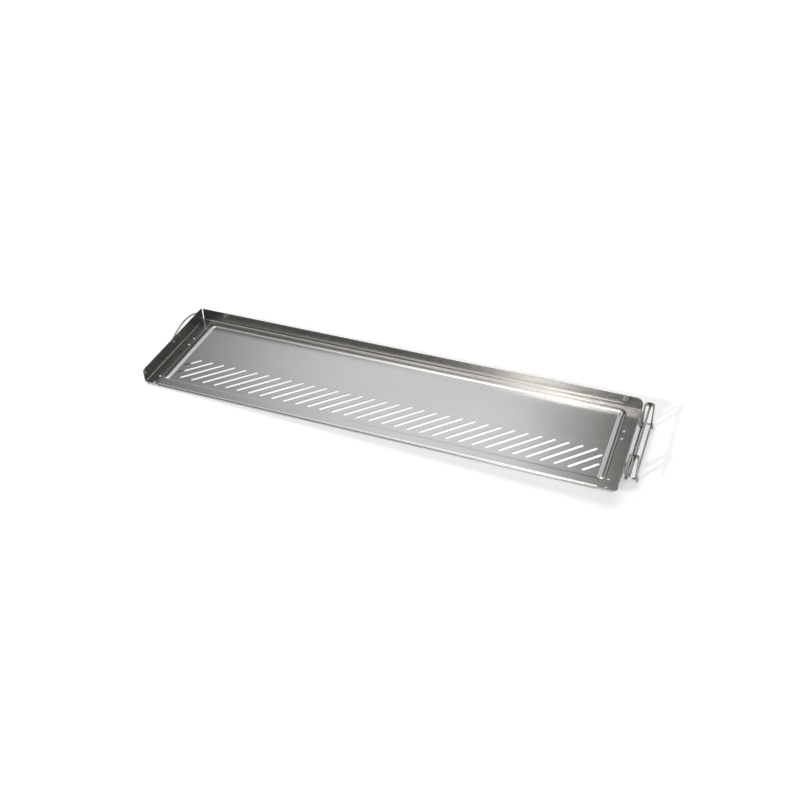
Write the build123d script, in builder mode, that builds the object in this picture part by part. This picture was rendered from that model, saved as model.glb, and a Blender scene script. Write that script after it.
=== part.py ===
from build123d import *
import math
import os

# Baguette tray in stainless sheet: a long pan with a back wall and a left end
# wall, open along the front and at the right end, a ribbed and slotted floor,
# a wire bail on the left end wall, and a pivoting two-hook hanger on the open
# right end.
#
# Tray measures below are taken from the pan's own corner: x to the right from
# the inner face of the left wall, y to the back from the front edge, z up from
# the upper face of the floor.  (X0, Y0, Z0) carries that corner into the frame
# of the part, whose origin is the middle of the whole object's footprint.

# ---------------------------------------------------------------- pan
SHEET = 1.0            # sheet thickness
LEN = 629.5            # left wall's inner face to the right edge
WID = 155.0            # front edge to the back wall's inner face
LEFT_H = 18.0          # left wall above the floor
BACK_H = 16.1          # back wall above the floor
BACK_LEAN = 4.5        # degrees the back wall leans outward
BEND = 1.2             # inner bend radius at the wall feet
FRONT_R = 3.0          # outer radius of the turned-down front edge
FRONT_DROP = 4.2       # its reach below the floor's upper face
LIP_R = 1.6            # the same for the right edge
LIP_DROP = 3.2
LIP_X0, LIP_X1 = 19.0, 606.0     # front lip, from and to
LIP_Y0, LIP_Y1 = 7.0, 151.0      # right lip, from and to
CORNER_R = 5.0         # plan radius of the front right corner
CORNER_GAP = 0.7       # open seam where the two walls nearly meet

# rib that frames the panel on three sides, and the soft step that closes it
RIB_W = 10.0
RIB_H = 0.5
RIB_CREST = 1.0
RIB_X0, RIB_X1 = 21.9, 607.8
RIB_Y_END, RIB_Y_BACK = 18.7, 145.3
RIB_CORNER = 6.5
PANEL_SINK = 0.25
STEP_Y0, STEP_Y1 = 12.6, 17.2

# diagonal slots
SLOT_N = 35
SLOT_PITCH = 17.0
SLOT_W = 3.9
SLOT_Y0, SLOT_Y1 = 23.0, 66.2    # ends of the slots, front and back
SLOT_X0 = 5.2                    # front end of the first slot's line
SLOT_XMIN, SLOT_XMAX = 30.5, 600.4

# ---------------------------------------------------------------- plates below
PLATE = 2.0
PLATE_BOT = -(SHEET + PANEL_SINK + PLATE)
L_PLATE_X1 = 35.5
R_PLATE_X0 = LEN - 27.0
RIVET_L_X, RIVET_R_X = 12.2, 616.5
RIVET_YS = (2.5, 16.6, 92.2, 106.8)
RIVET_R = 1.2
RIVET_HEAD_R = 2.1
RIVET_HEAD_H = 0.95

# ---------------------------------------------------------------- hanger
PIVOT_X, PIVOT_Z = 632.6, -19.6
PIVOT_R = 1.2
HOOK_YS = (49.0, 150.0)
HOOK_W = 5.0
HOOK_T = 1.9
EYE_WALL = 1.0
EYE_CLEAR = 0.05
HOOK_TOP = 16.4
HOOK_LEG_X = 643.8
HOOK_FLARE_Z = -12.6
HOOK_TIP_X, HOOK_TIP_Z = 646.2, -20.6
EAR_R = 2.6
STOP_X = PIVOT_X - HOOK_T / 2 - 0.1
CROWN_R = 1.5
CROWN_X = 639.0
CROWN_Y0, CROWN_Y1 = 14.5, 152.8
BRACE_R = 1.2
BRACE_X, BRACE_Z = 643.5, -19.2
BRACE_TURN = 4.6
BRACE_BACK_X = 636.2
CAP_R = 1.9

# ---------------------------------------------------------------- bail
BAIL_R = 1.25
BAIL_X, BAIL_Z = -3.3, 5.0
BAIL_Y0, BAIL_Y1 = 74.0, 153.0
BAIL_ARCH_Z, BAIL_SHOULDER_Z = 22.4, 10.4
BAIL_END = 10.0
BAIL_CLEAR = 0.07
CLIP_T = 0.9
CLIP_YS = ((77.2, 82.8), (144.2, 149.8))

# ---------------------------------------------------------------- placing
XMIN = BAIL_X - BAIL_R - BAIL_CLEAR - CLIP_T
XMAX = HOOK_TIP_X + HOOK_T / 2
LEAN = math.radians(BACK_LEAN)
WALL_RUN = (BACK_H - BEND * (1 - math.sin(LEAN))) / math.cos(LEAN)
YMIN = 0.0
YMAX = WID - BEND + (BEND + SHEET) * math.cos(LEAN) + WALL_RUN * math.sin(LEAN)
ZMIN = min(HOOK_TIP_Z - HOOK_T / 2, PIVOT_Z - EAR_R)
X0 = -(XMIN + XMAX) / 2
Y0 = -(YMIN + YMAX) / 2
Z0 = -ZMIN


def at(x, y, z):
    return (X0 + x, Y0 + y, Z0 + z)


def level(z):
    return Plane.XY.offset(Z0 + z)


def cross(y):
    """vertical plane at y, drawn in (x, z), its normal towards the front"""
    return Plane.XZ.offset(-(Y0 + y))


def along(x):
    """vertical plane at x, drawn in (y, z), its normal to the right"""
    return Plane.YZ.offset(X0 + x)


def xy(*pts):
    return [(X0 + a, Y0 + b) for a, b in pts]


def xz(*pts):
    return [(X0 + a, Z0 + b) for a, b in pts]


def yz(*pts):
    return [(Y0 + a, Z0 + b) for a, b in pts]


# ================================================================ relief
# The panel is sunk a little inside the rib, so the rib falls further on its
# inner side.  Each relief body is worked into the upper face of the sheet and,
# one thickness lower, into the under face.
RUN = (RIB_W - RIB_CREST) / 2
DIP = 0.3


def flank(side, fall):
    """an S of two arcs from the crest down to the foot, in (x, z)"""
    rad = (RUN**2 + fall**2) / (4 * fall)
    ang = 2 * math.atan2(fall, RUN)
    crest = side * RIB_CREST / 2
    foot = side * RIB_W / 2
    low = RIB_H - fall
    sweep_x, sweep_z = rad * math.sin(ang / 2), rad * (1 - math.cos(ang / 2))
    return (
        (crest, RIB_H),
        (crest + side * sweep_x, RIB_H - sweep_z),
        (crest + side * RUN / 2, RIB_H - fall / 2),
        (foot - side * sweep_x, low + sweep_z),
        (foot, low),
    )


# U-shaped rib, its profile's inner side towards the panel
with BuildPart() as rib:
    with BuildLine(level(0)) as rib_path:
        FilletPolyline(
            *xy(
                (RIB_X0, RIB_Y_END),
                (RIB_X0, RIB_Y_BACK),
                (RIB_X1, RIB_Y_BACK),
                (RIB_X1, RIB_Y_END),
            ),
            radius=RIB_CORNER,
        )
    with BuildSketch(cross(RIB_Y_END)) as rib_profile:
        low = -PANEL_SINK - DIP
        with BuildLine():
            o = xz(*[(RIB_X0 + u, v) for u, v in flank(-1, RIB_H)])
            i = xz(*[(RIB_X0 + u, v) for u, v in flank(1, RIB_H + PANEL_SINK)])
            Line(o[0], i[0])
            ThreePointArc(i[0], i[1], i[2])
            ThreePointArc(i[2], i[3], i[4])
            Polyline(i[4], (i[4][0], Z0 + low), (o[4][0], Z0 + low), o[4])
            ThreePointArc(o[4], o[3], o[2])
            ThreePointArc(o[2], o[1], o[0])
        make_face()
    sweep(path=rib_path.wire())
    for cx in (RIB_X0, RIB_X1):
        with BuildSketch(cross(RIB_Y_END)):
            with BuildLine():
                i = xz(*[(cx + u, v) for u, v in flank(1, RIB_H + PANEL_SINK)])
                Line((X0 + cx, Z0 + RIB_H), i[0])
                ThreePointArc(i[0], i[1], i[2])
                ThreePointArc(i[2], i[3], i[4])
                Polyline(
                    i[4],
                    (i[4][0], Z0 + low),
                    (X0 + cx, Z0 + low),
                    (X0 + cx, Z0 + RIB_H),
                )
            make_face()
        revolve(axis=Axis(at(cx, RIB_Y_END, 0), (0, 0, 1)), revolution_arc=360)

# sunk panel with a soft step along the front
with BuildPart() as pocket:
    with BuildSketch(along(RIB_X0)):
        run = STEP_Y1 - STEP_Y0
        rad = (run**2 + PANEL_SINK**2) / (4 * PANEL_SINK)
        ang = 2 * math.atan2(PANEL_SINK, run)
        du, dv = rad * math.sin(ang / 2), rad * (1 - math.cos(ang / 2))
        q = yz(
            (STEP_Y0, 0.0),
            (STEP_Y0 + du, -dv),
            (STEP_Y0 + run / 2, -PANEL_SINK / 2),
            (STEP_Y1 - du, -PANEL_SINK + dv),
            (STEP_Y1, -PANEL_SINK),
            (RIB_Y_BACK, -PANEL_SINK),
            (RIB_Y_BACK, 0.0),
        )
        with BuildLine():
            ThreePointArc(q[0], q[1], q[2])
            ThreePointArc(q[2], q[3], q[4])
            Polyline(q[4], q[5], q[6], q[0])
        make_face()
    extrude(amount=RIB_X1 - RIB_X0)

# ================================================================ tray pan
with BuildPart() as tray_pan:
    # floor
    with BuildSketch(level(-SHEET)) as floor_plan:
        with BuildLine():
            Polyline(
                *xy(
                    (LEN, CORNER_R),
                    (LEN, LIP_Y0),
                    (LEN - LIP_R, LIP_Y0),
                    (LEN - LIP_R, LIP_Y1),
                    (LEN, LIP_Y1),
                    (LEN, WID - BEND),
                    (BEND, WID - BEND),
                    (BEND, 0),
                    (LIP_X0, 0),
                    (LIP_X0, FRONT_R),
                    (LIP_X1, FRONT_R),
                    (LIP_X1, 0),
                    (LEN - CORNER_R, 0),
                )
            )
            k = CORNER_R * (1 - math.sqrt(0.5))
            ThreePointArc(*xy((LEN - CORNER_R, 0), (LEN - k, k), (LEN, CORNER_R)))
        make_face()
    extrude(amount=SHEET)
    # left wall with its bend
    with BuildSketch(cross(WID - CORNER_GAP)):
        ro = BEND + SHEET
        s = math.sqrt(0.5)
        a = xz(
            (BEND, -SHEET),
            (BEND - ro * s, BEND - ro * s),
            (-SHEET, BEND),
            (-SHEET, LEFT_H),
            (0, LEFT_H),
            (0, BEND),
            (BEND - BEND * s, BEND - BEND * s),
            (BEND, 0),
        )
        with BuildLine():
            ThreePointArc(a[0], a[1], a[2])
            Polyline(a[2], a[3], a[4], a[5])
            ThreePointArc(a[5], a[6], a[7])
            Line(a[7], a[0])
        make_face()
    extrude(amount=WID - CORNER_GAP)
    # back wall with its bend
    with BuildSketch(along(CORNER_GAP)):
        cy, cz = WID - BEND, BEND
        out_y, out_z = math.cos(LEAN), -math.sin(LEAN)
        mid = (math.pi / 2 + LEAN) / 2
        mid_y, mid_z = math.cos(mid), -math.sin(mid)
        run_y, run_z = WALL_RUN * math.sin(LEAN), WALL_RUN * math.cos(LEAN)
        b = yz(
            (cy, -SHEET),
            (cy + ro * mid_y, cz + ro * mid_z),
            (cy + ro * out_y, cz + ro * out_z),
            (cy + ro * out_y + run_y, cz + ro * out_z + run_z),
            (cy + BEND * out_y + run_y, cz + BEND * out_z + run_z),
            (cy + BEND * out_y, cz + BEND * out_z),
            (cy + BEND * mid_y, cz + BEND * mid_z),
            (cy, 0),
        )
        with BuildLine():
            ThreePointArc(b[0], b[1], b[2])
            Polyline(b[2], b[3], b[4], b[5])
            ThreePointArc(b[5], b[6], b[7])
            Line(b[7], b[0])
        make_face()
    extrude(amount=LEN - CORNER_GAP)
    # turned-down front lip
    with BuildSketch(along(LIP_X0)):
        ri = FRONT_R - SHEET
        f = yz(
            (FRONT_R, 0),
            (FRONT_R - FRONT_R * s, -FRONT_R + FRONT_R * s),
            (0, -FRONT_R),
            (0, -FRONT_DROP),
            (SHEET, -FRONT_DROP),
            (SHEET, -FRONT_R),
            (FRONT_R - ri * s, -FRONT_R + ri * s),
            (FRONT_R, -SHEET),
        )
        with BuildLine():
            ThreePointArc(f[0], f[1], f[2])
            Polyline(f[2], f[3], f[4], f[5])
            ThreePointArc(f[5], f[6], f[7])
            Line(f[7], f[0])
        make_face()
    extrude(amount=LIP_X1 - LIP_X0)
    # turned-down right lip
    with BuildSketch(cross(LIP_Y1)):
        ri = LIP_R - SHEET
        g = xz(
            (LEN - LIP_R, 0),
            (LEN - LIP_R + LIP_R * s, -LIP_R + LIP_R * s),
            (LEN, -LIP_R),
            (LEN, -LIP_DROP),
            (LEN - SHEET, -LIP_DROP),
            (LEN - SHEET, -LIP_R),
            (LEN - LIP_R + ri * s, -LIP_R + ri * s),
            (LEN - LIP_R, -SHEET),
        )
        with BuildLine():
            ThreePointArc(g[0], g[1], g[2])
            Polyline(g[2], g[3], g[4], g[5])
            ThreePointArc(g[5], g[6], g[7])
            Line(g[7], g[0])
        make_face()
    extrude(amount=LIP_Y1 - LIP_Y0)
    # rounded free corners of the two walls
    wall_tops = tray_pan.edges().filter_by(Axis.X).filter_by(
        lambda e: abs(e.length - SHEET) < 0.01
        and abs(e.center().Z - (Z0 + LEFT_H)) < 0.01
    )
    fillet(wall_tops.sort_by(Axis.Y)[0], radius=5.0)
    end_tops = tray_pan.edges().filter_by(
        lambda e: abs(e.length - SHEET) < 0.01
        and e.center().Z > Z0 + BACK_H - 0.5
        and e.center().X > X0 + LEN - 0.1
    )
    fillet(end_tops, radius=8.0)
    # sunk panel and pressed rib
    add(pocket.part, mode=Mode.SUBTRACT)
    with Locations((0, 0, -SHEET)):
        add(pocket.part)
    add(rib.part)
    with Locations((0, 0, -SHEET)):
        add(rib.part, mode=Mode.SUBTRACT)
    # diagonal slots
    rise = SLOT_Y1 - SLOT_Y0
    for i in range(SLOT_N):
        xa = SLOT_X0 + i * SLOT_PITCH
        xb = xa + rise
        ya, yb = SLOT_Y0, SLOT_Y1
        if xa < SLOT_XMIN:
            ya += SLOT_XMIN - xa
            xa = SLOT_XMIN
        if xb > SLOT_XMAX:
            yb -= xb - SLOT_XMAX
            xb = SLOT_XMAX
        sep = math.hypot(xb - xa, yb - ya) - SLOT_W
        with BuildSketch(level(-6)):
            with Locations(xy(((xa + xb) / 2, (ya + yb) / 2))[0]):
                SlotCenterToCenter(sep, SLOT_W, rotation=45)
        extrude(amount=12, mode=Mode.SUBTRACT)
    # rivet holes
    with BuildSketch(level(-6)):
        with Locations(
            *[xy((rx, ry))[0] for rx in (RIVET_L_X, RIVET_R_X) for ry in RIVET_YS]
        ):
            Circle(RIVET_R)
    extrude(amount=12, mode=Mode.SUBTRACT)
tray_pan.part.label = "tray_pan"

# ================================================================ plates
with BuildPart() as left_plate:
    with BuildSketch(level(PLATE_BOT)):
        with BuildLine():
            Polyline(
                *xy(
                    (1.8, 0.4),
                    (18.4, 0.4),
                    (18.4, 3.4),
                    (L_PLATE_X1, 3.4),
                    (L_PLATE_X1, 153.0),
                    (1.8, 153.0),
                ),
                close=True,
            )
        make_face()
        with Locations(*[xy((RIVET_L_X, ry))[0] for ry in RIVET_YS]):
            Circle(RIVET_R, mode=Mode.SUBTRACT)
    extrude(amount=PLATE)
left_plate.part.label = "left_plate"

with BuildPart() as right_bracket:
    with BuildSketch(level(PLATE_BOT)):
        with BuildLine():
            Polyline(
                *xy(
                    (R_PLATE_X0, 3.4),
                    (LIP_X1 + 0.6, 3.4),
                    (LIP_X1 + 0.6, 0.4),
                    (LEN - CORNER_R - 1, 0.4),
                    (LEN - 2.2, 5.0),
                    (LEN - 2.2, 153.0),
                    (R_PLATE_X0, 153.0),
                ),
                close=True,
            )
        make_face()
        with Locations(*[xy((RIVET_R_X, ry))[0] for ry in RIVET_YS]):
            Circle(RIVET_R, mode=Mode.SUBTRACT)
    extrude(amount=PLATE)
    # two cheeks that carry the pivot rod, each with a stop for its hook
    for hook_y, cheek_y, side in ((HOOK_YS[0], 55.0, 1), (HOOK_YS[1], 147.0, -1)):
        with BuildSketch(cross(cheek_y)):
            with BuildLine():
                Polyline(
                    *xz(
                        (LEN - 13.0, PLATE_BOT + 0.6),
                        (PIVOT_X - EAR_R * 0.97, PIVOT_Z - 0.6),
                        (PIVOT_X + EAR_R * 0.97, PIVOT_Z + 0.6),
                        (STOP_X, -14.5),
                        (STOP_X, 0.0),
                        (LEN + 0.4, 0.0),
                        (LEN + 0.4, -LIP_DROP - 0.3),
                        (LEN - 2.2, -LIP_DROP - 0.3),
                        (LEN - 2.2, PLATE_BOT + 0.6),
                    ),
                    close=True,
                )
            make_face()
            with Locations(xz((PIVOT_X, PIVOT_Z))[0]):
                Circle(EAR_R)
                Circle(PIVOT_R, mode=Mode.SUBTRACT)
        extrude(amount=PLATE)
        y_from = HOOK_YS[0] - HOOK_W / 2 if side > 0 else 145.0
        y_to = 55.0 if side > 0 else HOOK_YS[1] + HOOK_W / 2
        with BuildSketch(cross(y_to)):
            with BuildLine():
                Polyline(
                    *xz(
                        (STOP_X - 1.6, -14.5),
                        (STOP_X, -14.5),
                        (STOP_X, 0.0),
                        (STOP_X - 1.6, 0.0),
                    ),
                    close=True,
                )
            make_face()
        extrude(amount=y_to - y_from)
right_bracket.part.label = "right_bracket"

# ================================================================ rivets
with BuildPart() as one_rivet:
    with BuildSketch(Plane.XZ):
        with BuildLine():
            Polyline(
                (0, RIVET_HEAD_H),
                (0, PLATE_BOT),
                (RIVET_R, PLATE_BOT),
                (RIVET_R, 0),
                (RIVET_HEAD_R, 0),
                (RIVET_HEAD_R, 0.15),
            )
            c = RIVET_HEAD_H - 0.15
            dome = (RIVET_HEAD_R**2 + c**2) / (2 * c)
            half = math.asin(RIVET_HEAD_R / dome) / 2
            ThreePointArc(
                (RIVET_HEAD_R, 0.15),
                (dome * math.sin(half), RIVET_HEAD_H - dome * (1 - math.cos(half))),
                (0, RIVET_HEAD_H),
            )
        make_face()
    revolve(axis=Axis.Z, revolution_arc=360)

with BuildPart() as left_rivets:
    with Locations(*[Location(at(RIVET_L_X, ry, 0)) for ry in RIVET_YS]):
        add(one_rivet.part)
left_rivets.part.label = "left_rivets"

with BuildPart() as right_rivets:
    with Locations(*[Location(at(RIVET_R_X, ry, 0)) for ry in RIVET_YS]):
        add(one_rivet.part)
right_rivets.part.label = "right_rivets"


# ================================================================ hooks
# bent strip: an eye round the pivot rod, a leg, a flat crown and a second leg
# with a flared tip
EYE_IN = PIVOT_R + EYE_CLEAR
with BuildPart() as hook_front:
    with BuildSketch(cross(HOOK_YS[0] + HOOK_W / 2)):
        with BuildLine():
            spine = FilletPolyline(
                *xz(
                    (PIVOT_X, PIVOT_Z + EYE_IN + 0.4),
                    (PIVOT_X, HOOK_TOP - HOOK_T / 2),
                    (HOOK_LEG_X, HOOK_TOP - HOOK_T / 2),
                    (HOOK_LEG_X, HOOK_FLARE_Z),
                    (HOOK_TIP_X, HOOK_TIP_Z),
                ),
                radius=3.4,
            )
            offset(spine, amount=HOOK_T / 2, side=Side.BOTH, mode=Mode.REPLACE)
        make_face()
        with Locations(xz((PIVOT_X, PIVOT_Z))[0]):
            Circle(EYE_IN + EYE_WALL)
            Circle(EYE_IN, mode=Mode.SUBTRACT)
    extrude(amount=HOOK_W)
hook_front.part.label = "hook_front"

with BuildPart() as hook_back:
    with Locations((0, HOOK_YS[1] - HOOK_YS[0], 0)):
        add(hook_front.part)
hook_back.part.label = "hook_back"

# ================================================================ pivot rod
with BuildPart() as pivot_rod:
    with BuildSketch(cross(154.6)):
        with Locations(xz((PIVOT_X, PIVOT_Z))[0]):
            Circle(PIVOT_R)
    extrude(amount=154.6 - 45.2)
    chamfer(pivot_rod.edges().filter_by(GeomType.CIRCLE), length=0.25)
pivot_rod.part.label = "pivot_rod"

with BuildPart() as one_cap:
    # domed push-on cap, its mouth towards +Z
    with BuildSketch(Plane.XZ):
        with BuildLine():
            Polyline(
                (PIVOT_R, 0.4),
                (PIVOT_R, 1.6),
                (CAP_R, 1.6),
                (CAP_R, 0.7),
            )
            dome = (CAP_R**2 + 1.6**2) / 3.2
            half = math.asin(CAP_R / dome) / 2
            ThreePointArc(
                (CAP_R, 0.7),
                (dome * math.sin(half), -0.9 + dome * (1 - math.cos(half))),
                (0, -0.9),
            )
            Polyline((0, -0.9), (0, 0.4), (PIVOT_R, 0.4))
        make_face()
    revolve(axis=Axis.Z, revolution_arc=360)

with BuildPart() as pivot_caps:
    with Locations(
        Location(at(PIVOT_X, 44.8, PIVOT_Z), (-90, 0, 0)),
        Location(at(PIVOT_X, 155.0, PIVOT_Z), (90, 0, 0)),
    ):
        add(one_cap.part)
pivot_caps.part.label = "pivot_caps"

# ================================================================ crown rod
CROWN_Z = HOOK_TOP - HOOK_T - CROWN_R - 0.01
with BuildPart() as crown_rod:
    with BuildSketch(cross(CROWN_Y1)):
        with Locations(xz((CROWN_X, CROWN_Z))[0]):
            Circle(CROWN_R)
    extrude(amount=CROWN_Y1 - CROWN_Y0)
    fillet(
        crown_rod.edges().filter_by(GeomType.CIRCLE).sort_by(Axis.Y)[0], radius=1.0
    )
    chamfer(
        crown_rod.edges().filter_by(GeomType.CIRCLE).sort_by(Axis.Y)[-1], length=0.3
    )
crown_rod.part.label = "crown_rod"

# ================================================================ brace wire
with BuildPart() as brace_wire:
    with BuildLine(level(BRACE_Z)) as brace_path:
        FilletPolyline(
            *xy(
                (BRACE_X - BRACE_TURN, 48.4),
                (BRACE_X, 48.4),
                (BRACE_X, 153.8),
                (BRACE_BACK_X, 153.8),
            ),
            radius=2.6,
        )
    with BuildSketch(along(BRACE_X - BRACE_TURN)):
        with Locations(yz((48.4, BRACE_Z))[0]):
            Circle(BRACE_R)
    sweep(path=brace_path.wire())
brace_wire.part.label = "brace_wire"

# ================================================================ bail
with BuildPart() as handle_bail:
    with BuildLine(along(BAIL_X)) as bail_path:
        n = yz(
            (BAIL_Y0 + BAIL_END, BAIL_Z),
            (BAIL_Y0, BAIL_Z),
            (BAIL_Y0, BAIL_SHOULDER_Z),
            ((BAIL_Y0 + BAIL_Y1) / 2, BAIL_ARCH_Z),
            (BAIL_Y1, BAIL_SHOULDER_Z),
            (BAIL_Y1, BAIL_Z),
            (BAIL_Y1 - BAIL_END, BAIL_Z),
        )
        Polyline(n[0], n[1], n[2])
        ThreePointArc(n[2], n[3], n[4])
        Polyline(n[4], n[5], n[6])
        corners = bail_path.vertices().filter_by(
            lambda v: min(abs(v.Y - (Y0 + BAIL_Y0)), abs(v.Y - (Y0 + BAIL_Y1))) < 0.01
        )
        fillet(corners, radius=2.0)
    with BuildSketch(cross(BAIL_Y0 + BAIL_END)):
        with Locations(xz((BAIL_X, BAIL_Z))[0]):
            Circle(BAIL_R)
    sweep(path=bail_path.wire())
handle_bail.part.label = "handle_bail"


# saddle clip welded to the outer face of the left wall
CLIP_IN = BAIL_R + BAIL_CLEAR
CLIP_OUT = CLIP_IN + CLIP_T
with BuildPart() as handle_clip_front:
    with BuildSketch(cross(CLIP_YS[0][1])):
        with Locations(xz((BAIL_X, BAIL_Z))[0]):
            Circle(CLIP_OUT)
        with Locations(xz(((BAIL_X - SHEET) / 2, BAIL_Z))[0]):
            Rectangle(-SHEET - BAIL_X, 2 * CLIP_OUT)
        with Locations(xz((-SHEET - CLIP_T / 2, BAIL_Z - 0.1))[0]):
            Rectangle(CLIP_T, 10.6)
        with Locations(xz((BAIL_X, BAIL_Z))[0]):
            Circle(CLIP_IN, mode=Mode.SUBTRACT)
        with Locations(xz(((BAIL_X - SHEET) / 2 + 1.0, BAIL_Z))[0]):
            Rectangle(-SHEET - BAIL_X + 2.0, 2 * CLIP_IN, mode=Mode.SUBTRACT)
        with Locations(xz((-SHEET + 5.0, BAIL_Z))[0]):
            Rectangle(10.0, 20.0, mode=Mode.SUBTRACT)
    extrude(amount=CLIP_YS[0][1] - CLIP_YS[0][0])
    clip_corners = handle_clip_front.edges().filter_by(Axis.X).filter_by(
        lambda e: abs(e.length - CLIP_T) < 0.01
    )
    fillet(clip_corners, radius=1.2)
handle_clip_front.part.label = "handle_clip_front"

with BuildPart() as handle_clip_back:
    with Locations((0, CLIP_YS[1][0] - CLIP_YS[0][0], 0)):
        add(handle_clip_front.part)
handle_clip_back.part.label = "handle_clip_back"

# ================================================================ write
os.makedirs("parts", exist_ok=True)
export_step(tray_pan.part, "parts/tray_pan.step")
export_step(left_plate.part, "parts/left_plate.step")
export_step(right_bracket.part, "parts/right_bracket.step")
export_step(left_rivets.part, "parts/left_rivets.step")
export_step(right_rivets.part, "parts/right_rivets.step")
export_step(hook_front.part, "parts/hook_front.step")
export_step(hook_back.part, "parts/hook_back.step")
export_step(pivot_rod.part, "parts/pivot_rod.step")
export_step(pivot_caps.part, "parts/pivot_caps.step")
export_step(crown_rod.part, "parts/crown_rod.step")
export_step(brace_wire.part, "parts/brace_wire.step")
export_step(handle_bail.part, "parts/handle_bail.step")
export_step(handle_clip_front.part, "parts/handle_clip_front.step")
export_step(handle_clip_back.part, "parts/handle_clip_back.step")
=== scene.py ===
import math

import bpy
from mathutils import Matrix, Vector


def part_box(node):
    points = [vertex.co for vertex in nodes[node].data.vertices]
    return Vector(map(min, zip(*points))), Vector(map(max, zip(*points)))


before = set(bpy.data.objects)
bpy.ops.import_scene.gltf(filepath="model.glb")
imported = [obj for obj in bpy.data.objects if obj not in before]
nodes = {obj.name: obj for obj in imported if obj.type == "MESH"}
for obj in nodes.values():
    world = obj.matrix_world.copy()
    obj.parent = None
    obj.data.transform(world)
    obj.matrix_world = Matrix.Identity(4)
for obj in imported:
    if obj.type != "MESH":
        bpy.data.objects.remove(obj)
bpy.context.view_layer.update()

# The tray's own corner (left wall's inner foot, front edge, floor's upper face)
# in the frame of the part, in metres.
pan_lo, pan_hi = (Vector(c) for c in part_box("tray_pan"))
OX, OY, OZ = pan_lo.x + 0.001, pan_lo.y, pan_hi.z - 0.018


def at(x, y, z):
    return Vector((OX + x / 1000, OY + y / 1000, OZ + z / 1000))


# ---------------------------------------------------------------- materials
def new_material(name):
    m = bpy.data.materials.new(name)
    m.use_nodes = True
    nt = m.node_tree
    nt.nodes.clear()
    out = nt.nodes.new("ShaderNodeOutputMaterial")
    bsdf = nt.nodes.new("ShaderNodeBsdfPrincipled")
    nt.links.new(bsdf.outputs[0], out.inputs[0])
    return m, nt, bsdf


def node(nt, kind, **props):
    n = nt.nodes.new(kind)
    for k, v in props.items():
        setattr(n, k, v)
    return n


def coords(nt, scale, rot=(0, 0, 0)):
    tc = node(nt, "ShaderNodeTexCoord")
    mp = node(nt, "ShaderNodeMapping")
    mp.inputs["Scale"].default_value = scale
    mp.inputs["Rotation"].default_value = rot
    nt.links.new(tc.outputs["Object"], mp.inputs["Vector"])
    return mp.outputs[0]


def noise(nt, vec, scale, detail=3.0, rough=0.55):
    n = node(nt, "ShaderNodeTexNoise")
    n.inputs["Scale"].default_value = scale
    n.inputs["Detail"].default_value = detail
    n.inputs["Roughness"].default_value = rough
    nt.links.new(vec, n.inputs["Vector"])
    return n.outputs["Fac"]


def remap(nt, fac, lo, hi, a=0.3, b=0.7):
    n = node(nt, "ShaderNodeMapRange")
    n.inputs["From Min"].default_value = a
    n.inputs["From Max"].default_value = b
    n.inputs["To Min"].default_value = lo
    n.inputs["To Max"].default_value = hi
    nt.links.new(fac, n.inputs["Value"])
    return n.outputs["Result"]


def by_side(nt, vec_fac_a, vec_fac_b):
    """first value on faces that look up or back, second on faces that look
    along the length"""
    geo = node(nt, "ShaderNodeNewGeometry")
    sep = node(nt, "ShaderNodeSeparateXYZ")
    nt.links.new(geo.outputs["True Normal"], sep.inputs[0])
    ab = node(nt, "ShaderNodeMath", operation="ABSOLUTE")
    nt.links.new(sep.outputs[0], ab.inputs[0])
    gt = node(nt, "ShaderNodeMath", operation="GREATER_THAN")
    gt.inputs[1].default_value = 0.7
    nt.links.new(ab.outputs[0], gt.inputs[0])
    mx = node(nt, "ShaderNodeMix", data_type="FLOAT")
    nt.links.new(gt.outputs[0], mx.inputs[0])
    nt.links.new(vec_fac_a, mx.inputs[2])
    nt.links.new(vec_fac_b, mx.inputs[3])
    return mx.outputs[0]


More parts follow.
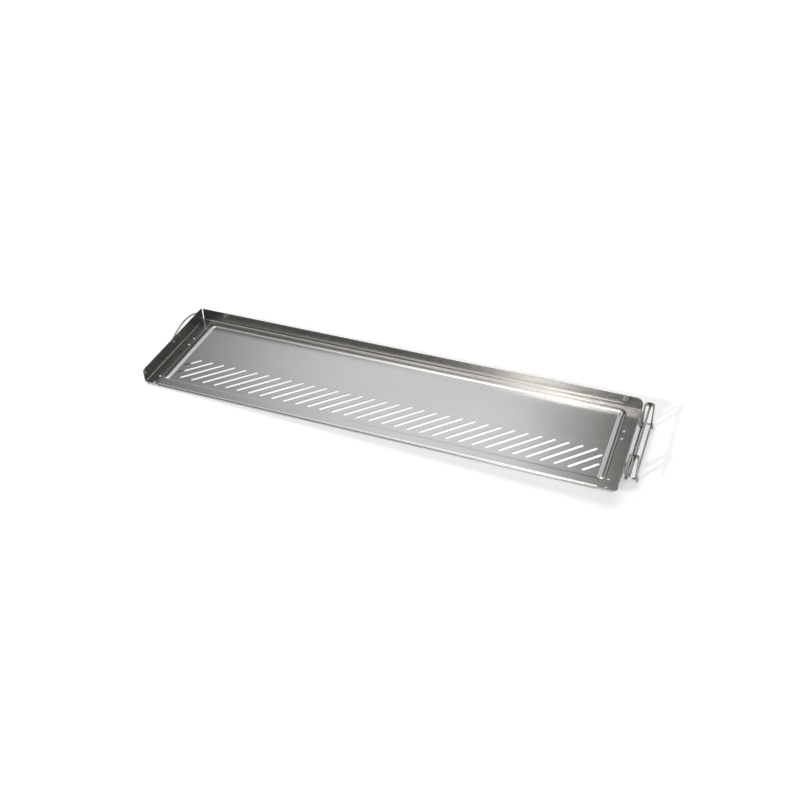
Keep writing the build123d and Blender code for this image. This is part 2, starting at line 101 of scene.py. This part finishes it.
def steel(name, base, rough_lo, rough_hi, grain, aniso=0.0, bump=0.25, mottle=0.04,
          mottle_scale=14.0, grain_scale=1.0, side_grain=None):
    """Stainless steel with a rolled or drawn grain.  grain gives the stretch of
    the fine lines along the three axes."""
    m, nt, b = new_material(name)
    fine = noise(nt, coords(nt, grain), 900.0 * grain_scale, 2.0, 0.6)
    if side_grain:
        fine = by_side(nt, fine, noise(nt, coords(nt, side_grain), 900.0 * grain_scale, 2.0, 0.6))
    soft = noise(nt, coords(nt, (1, 1, 1)), mottle_scale, 4.0, 0.5)
    smear = noise(nt, coords(nt, (0.6, 1.4, 1.4)), 60.0, 3.0, 0.5)
    # colour: base, a faint cloudiness and the grain
    mix = node(nt, "ShaderNodeMix", data_type="RGBA", blend_type="MIX")
    lo = tuple(max(0.0, c * (1 - mottle)) for c in base) + (1,)
    hi = tuple(min(1.0, c * (1 + mottle)) for c in base) + (1,)
    mix.inputs[6].default_value = lo
    mix.inputs[7].default_value = hi
    add = node(nt, "ShaderNodeMath", operation="MULTIPLY_ADD")
    add.inputs[1].default_value = 0.55
    nt.links.new(soft, add.inputs[0])
    half = node(nt, "ShaderNodeMath", operation="MULTIPLY")
    half.inputs[1].default_value = 0.45
    nt.links.new(fine, half.inputs[0])
    nt.links.new(half.outputs[0], add.inputs[2])
    nt.links.new(remap(nt, add.outputs[0], 0.0, 1.0), mix.inputs[0])
    nt.links.new(mix.outputs[2], b.inputs["Base Color"])
    b.inputs["Metallic"].default_value = 1.0
    # roughness: grain and soft smears
    r = node(nt, "ShaderNodeMath", operation="MULTIPLY_ADD")
    r.inputs[1].default_value = 0.6
    nt.links.new(fine, r.inputs[0])
    r2 = node(nt, "ShaderNodeMath", operation="MULTIPLY")
    r2.inputs[1].default_value = 0.4
    nt.links.new(smear, r2.inputs[0])
    nt.links.new(r2.outputs[0], r.inputs[2])
    nt.links.new(remap(nt, r.outputs[0], rough_lo, rough_hi), b.inputs["Roughness"])
    b.inputs["Anisotropic"].default_value = aniso
    if aniso:
        # the highlight is drawn out across the grain
        across = node(nt, "ShaderNodeCombineXYZ")
        across.inputs[0].default_value = 0.0
        across.inputs[1].default_value = 0.3
        across.inputs[2].default_value = 1.0
        nt.links.new(across.outputs[0], b.inputs["Tangent"])
    if bump > 0:
        bn = node(nt, "ShaderNodeBump")
        bn.inputs["Strength"].default_value = bump
        bn.inputs["Distance"].default_value = 0.00002
        nt.links.new(fine, bn.inputs["Height"])
        nt.links.new(bn.outputs[0], b.inputs["Normal"])
    return m


m_sheet = steel("satin_sheet", (0.63, 0.63, 0.625), 0.15, 0.21, (0.03, 1.0, 1.0), aniso=0.7,
                bump=0.04, mottle=0.045, side_grain=(1.0, 0.03, 1.0))
m_plate = steel("satin_plate", (0.5, 0.5, 0.505), 0.3, 0.42, (0.05, 1.0, 1.0))
m_strip = steel("satin_strip", (0.42, 0.415, 0.41), 0.14, 0.24, (1.0, 1.0, 0.06), grain_scale=1.2)
m_wire = steel("drawn_wire", (0.45, 0.445, 0.44), 0.12, 0.22, (1.0, 0.05, 1.0), grain_scale=1.5)
m_rod = steel("dull_rod", (0.2, 0.2, 0.2), 0.3, 0.4, (1.0, 0.05, 1.0), grain_scale=1.5)
m_rivet = steel("smooth_rivet", (0.66, 0.66, 0.66), 0.18, 0.3, (1.0, 1.0, 1.0), grain_scale=1.5)

USES = {
    "tray_pan": m_sheet,
    "left_plate": m_plate,
    "right_bracket": m_plate,
    "left_rivets": m_rivet,
    "right_rivets": m_rivet,
    "pivot_rod": m_rod,
    "pivot_caps": m_rivet,
    "hook_front": m_strip,
    "hook_back": m_strip,
    "crown_rod": m_wire,
    "brace_wire": m_wire,
    "handle_bail": m_wire,
    "handle_clip_front": m_strip,
    "handle_clip_back": m_strip,
}
for name, mat in USES.items():
    o = nodes[name]
    for s in o.material_slots:
        s.material = mat

# ---------------------------------------------------------------- floor
# The tray leans on the ears of its bracket, so the surface it stands on is
# tilted against the tray's own frame.
TILT = math.radians(1.72)
bpy.ops.mesh.primitive_plane_add(size=12.0)
floor = bpy.context.object
floor.name = "floor"
pivot = at(1.8, 0, -3.27)
floor.matrix_world = Matrix.Translation(pivot) @ Matrix.Rotation(TILT, 4, "Y")
fm, fnt, fb = new_material("pale_floor")
fb.inputs["Base Color"].default_value = (0.79, 0.8, 0.812, 1)
fb.inputs["Roughness"].default_value = 0.8
fb.inputs["Specular IOR Level"].default_value = 0.0
fb.inputs["Emission Color"].default_value = (1, 1, 1, 1)
f_lp = node(fnt, "ShaderNodeLightPath")
f_em = node(fnt, "ShaderNodeMapRange")
f_em.inputs["To Min"].default_value = 0.3
f_em.inputs["To Max"].default_value = 0.43
fnt.links.new(f_lp.outputs["Is Camera Ray"], f_em.inputs["Value"])
# painted light: the floor glows brighter right under the pan, for camera rays only, lifting the
# pan's shadow there so the slots read as open on the pale floor
f_geo = node(fnt, "ShaderNodeNewGeometry")
f_sep = node(fnt, "ShaderNodeSeparateXYZ")
fnt.links.new(f_geo.outputs["Position"], f_sep.inputs[0])


def fmath(op, *ins):
    n = node(fnt, "ShaderNodeMath", operation=op)
    for i, v in enumerate(ins):
        if isinstance(v, float):
            n.inputs[i].default_value = v
        else:
            fnt.links.new(v, n.inputs[i])
    return n.outputs[0]


# box under the pan where the floor gets its painted glow, which stands in for light where the pan
# casts shade
glow_box_lo, glow_box_hi = at(3, 24, 0), at(612, 165, 0)
painted_glow_under_pan = fmath("MULTIPLY",
              fmath("MULTIPLY", fmath("GREATER_THAN", f_sep.outputs[0], glow_box_lo.x),
                    fmath("LESS_THAN", f_sep.outputs[0], glow_box_hi.x)),
              fmath("MULTIPLY", fmath("GREATER_THAN", f_sep.outputs[1], glow_box_lo.y),
                    fmath("LESS_THAN", f_sep.outputs[1], glow_box_hi.y)))
painted_glow_under_pan = fmath("MULTIPLY", painted_glow_under_pan, f_lp.outputs["Is Camera Ray"])
fnt.links.new(fmath("MULTIPLY_ADD", painted_glow_under_pan, 0.4, f_em.outputs["Result"]),
              fb.inputs["Emission Strength"])
floor.data.materials.append(fm)

# ---------------------------------------------------------------- light
# A dark studio with soft panels, given by azimuth (from the back of the tray,
# growing to the left) and elevation, both in degrees.
world = bpy.data.worlds.new("studio")
bpy.context.scene.world = world
world.use_nodes = True
wt = world.node_tree
wt.nodes.clear()
w_out = wt.nodes.new("ShaderNodeOutputWorld")
w_bg = wt.nodes.new("ShaderNodeBackground")
w_tc = wt.nodes.new("ShaderNodeTexCoord")
w_sep = wt.nodes.new("ShaderNodeSeparateXYZ")
wt.links.new(w_tc.outputs["Generated"], w_sep.inputs[0])


def wmath(op, *ins):
    n = wt.nodes.new("ShaderNodeMath")
    n.operation = op
    for i, v in enumerate(ins):
        if isinstance(v, (int, float)):
            n.inputs[i].default_value = v
        else:
            wt.links.new(v, n.inputs[i])
    return n.outputs[0]


neg_x = wmath("MULTIPLY", w_sep.outputs[0], -1.0)
AZ = wmath("MULTIPLY", wmath("ARCTAN2", neg_x, w_sep.outputs[1]), 180 / math.pi)
EL = wmath("MULTIPLY", wmath("ARCSINE", w_sep.outputs[2]), 180 / math.pi)


def ramp(v, a, b):
    """0 below a, 1 above b, smooth between; a > b turns it round"""
    n = wt.nodes.new("ShaderNodeMapRange")
    n.interpolation_type = "SMOOTHSTEP"
    lo, hi = (a, b) if a < b else (b, a)
    n.inputs["From Min"].default_value = lo
    n.inputs["From Max"].default_value = hi
    n.inputs["To Min"].default_value = 0.0 if a < b else 1.0
    n.inputs["To Max"].default_value = 1.0 if a < b else 0.0
    wt.links.new(v, n.inputs["Value"])
    return n.outputs["Result"]


def panel(strength, *windows):
    out = strength
    for v, a, b, c, d in windows:
        out = wmath("MULTIPLY", out, ramp(v, a, b)) if b is not None else out
        out = wmath("MULTIPLY", out, ramp(v, d, c)) if c is not None else out
    return out


parts = [
    # back-left panel, mirrored in the floor of the tray, brighter higher up
    panel(0.42, (AZ, 10.5, 13.0, 25.0, 38.0), (EL, 18, 35, None, None)),
    panel(0.44, (AZ, 5.0, 9.5, 30.0, 46.0), (EL, 18, 35, None, None)),
    panel(0.35, (AZ, 10.0, 16.0, 30.0, 60.0), (EL, 44, 64, None, None)),
    # low light behind it and to its left, caught by the outer flanks of the ribs
    panel(0.5, (AZ, 10.0, 20.0, 60.0, 80.0), (EL, 0, 8, 18, 28)),
    panel(0.8, (AZ, 43.0, 55.0, 88.0, 100.0), (EL, 8, 18, 45, 60)),
    # back-right panel, caught by the ribs and bends
    panel(0.95, (AZ, -31.0, -25.0, -15.0, -7.0), (EL, 8, 20, 60, 75)),
    # overhead, towards the back
    panel(1.55, (EL, 50.0, 68.0, None, None), (AZ, -120.0, -95.0, 105.0, 135.0)),
    # bright horizon, weaker in front
    panel(0.8, (EL, -8, -4, 6, 18), (AZ, -130.0, -110.0, 105.0, 130.0)),
    panel(0.25, (EL, -8, -4, 6, 14)),
    # panel high in front, caught by the turned edges and the rib flanks
    panel(1.4, (AZ, 142.0, 157.0, 168.5, 172.0), (EL, 36, 44, 60, 70)),
    panel(0.35, (AZ, 120.0, 140.0, None, None), (EL, 35, 43, 68, 80)),
    # strip in front, mirrored in the back wall
    panel(4.2, (AZ, 166.8, 168.3, 169.5, 171.0), (EL, 14, 20, 48, 56)),
    # its hot middle, seen twice reflected at the foot of the back wall
    panel(2.6, (AZ, 165.0, 167.0, 169.8, 171.8), (EL, 40, 45, 52, 57)),
    # the rest of the front
    panel(0.04, (AZ, 120.0, 160.0, None, None), (EL, 8, 20, None, None)),
]
total = 0.06
for part in parts:
    total = wmath("ADD", total, part)
w_lp = wt.nodes.new("ShaderNodeLightPath")
seen = wmath("MAXIMUM", total, w_lp.outputs["Is Camera Ray"])
wt.links.new(seen, w_bg.inputs["Strength"])
# the main panel is neutral, the rest of the room a little warm
tint = wt.nodes.new("ShaderNodeMix")
tint.data_type = "RGBA"
tint.inputs[6].default_value = (1.0, 0.965, 0.91, 1)
tint.inputs[7].default_value = (1.0, 1.0, 1.012, 1)
wt.links.new(wmath("MULTIPLY", ramp(AZ, 7.0, 12.0), ramp(AZ, 60.0, 48.0)), tint.inputs[0])
wt.links.new(tint.outputs[2], w_bg.inputs["Color"])
wt.links.new(w_bg.outputs[0], w_out.inputs[0])

# soft key lamp, left in front, for the hanger's shadow on the floor
key_data = bpy.data.lights.new("key", "SUN")
key_data.energy = 1.25
key_data.angle = math.radians(4.0)
key = bpy.data.objects.new("key", key_data)
bpy.context.scene.collection.objects.link(key)
key.rotation_mode = "QUATERNION"
key.rotation_quaternion = Vector((35, 56, -38)).to_track_quat("-Z", "Y")
key.visible_glossy = False

# ---------------------------------------------------------------- camera
cam_data = bpy.data.cameras.new("camera")
cam = bpy.data.objects.new("camera", cam_data)
bpy.context.scene.collection.objects.link(cam)
bpy.context.scene.camera = cam
cam_data.sensor_width = 36.0
cam_data.lens = 1005.47 / 800 * 36.0
R_ROWS = (
    (0.932905, 0.358999, -0.028433),
    (0.206499, -0.597953, -0.774474),
    (-0.295037, 0.716639, -0.631966),
)
rot = Matrix((
    R_ROWS[0],
    tuple(-v for v in R_ROWS[1]),
    tuple(-v for v in R_ROWS[2]),
)).transposed()
cam.matrix_world = Matrix.Translation(at(716.427, -852.121, 816.063)) @ rot.to_4x4()
cam_data.shift_x = -0.5 / 800
cam_data.shift_y = 0.5 / 800
cam_data.clip_start = 0.01
cam_data.clip_end = 50

bpy.context.scene.view_settings.view_transform = "Standard"
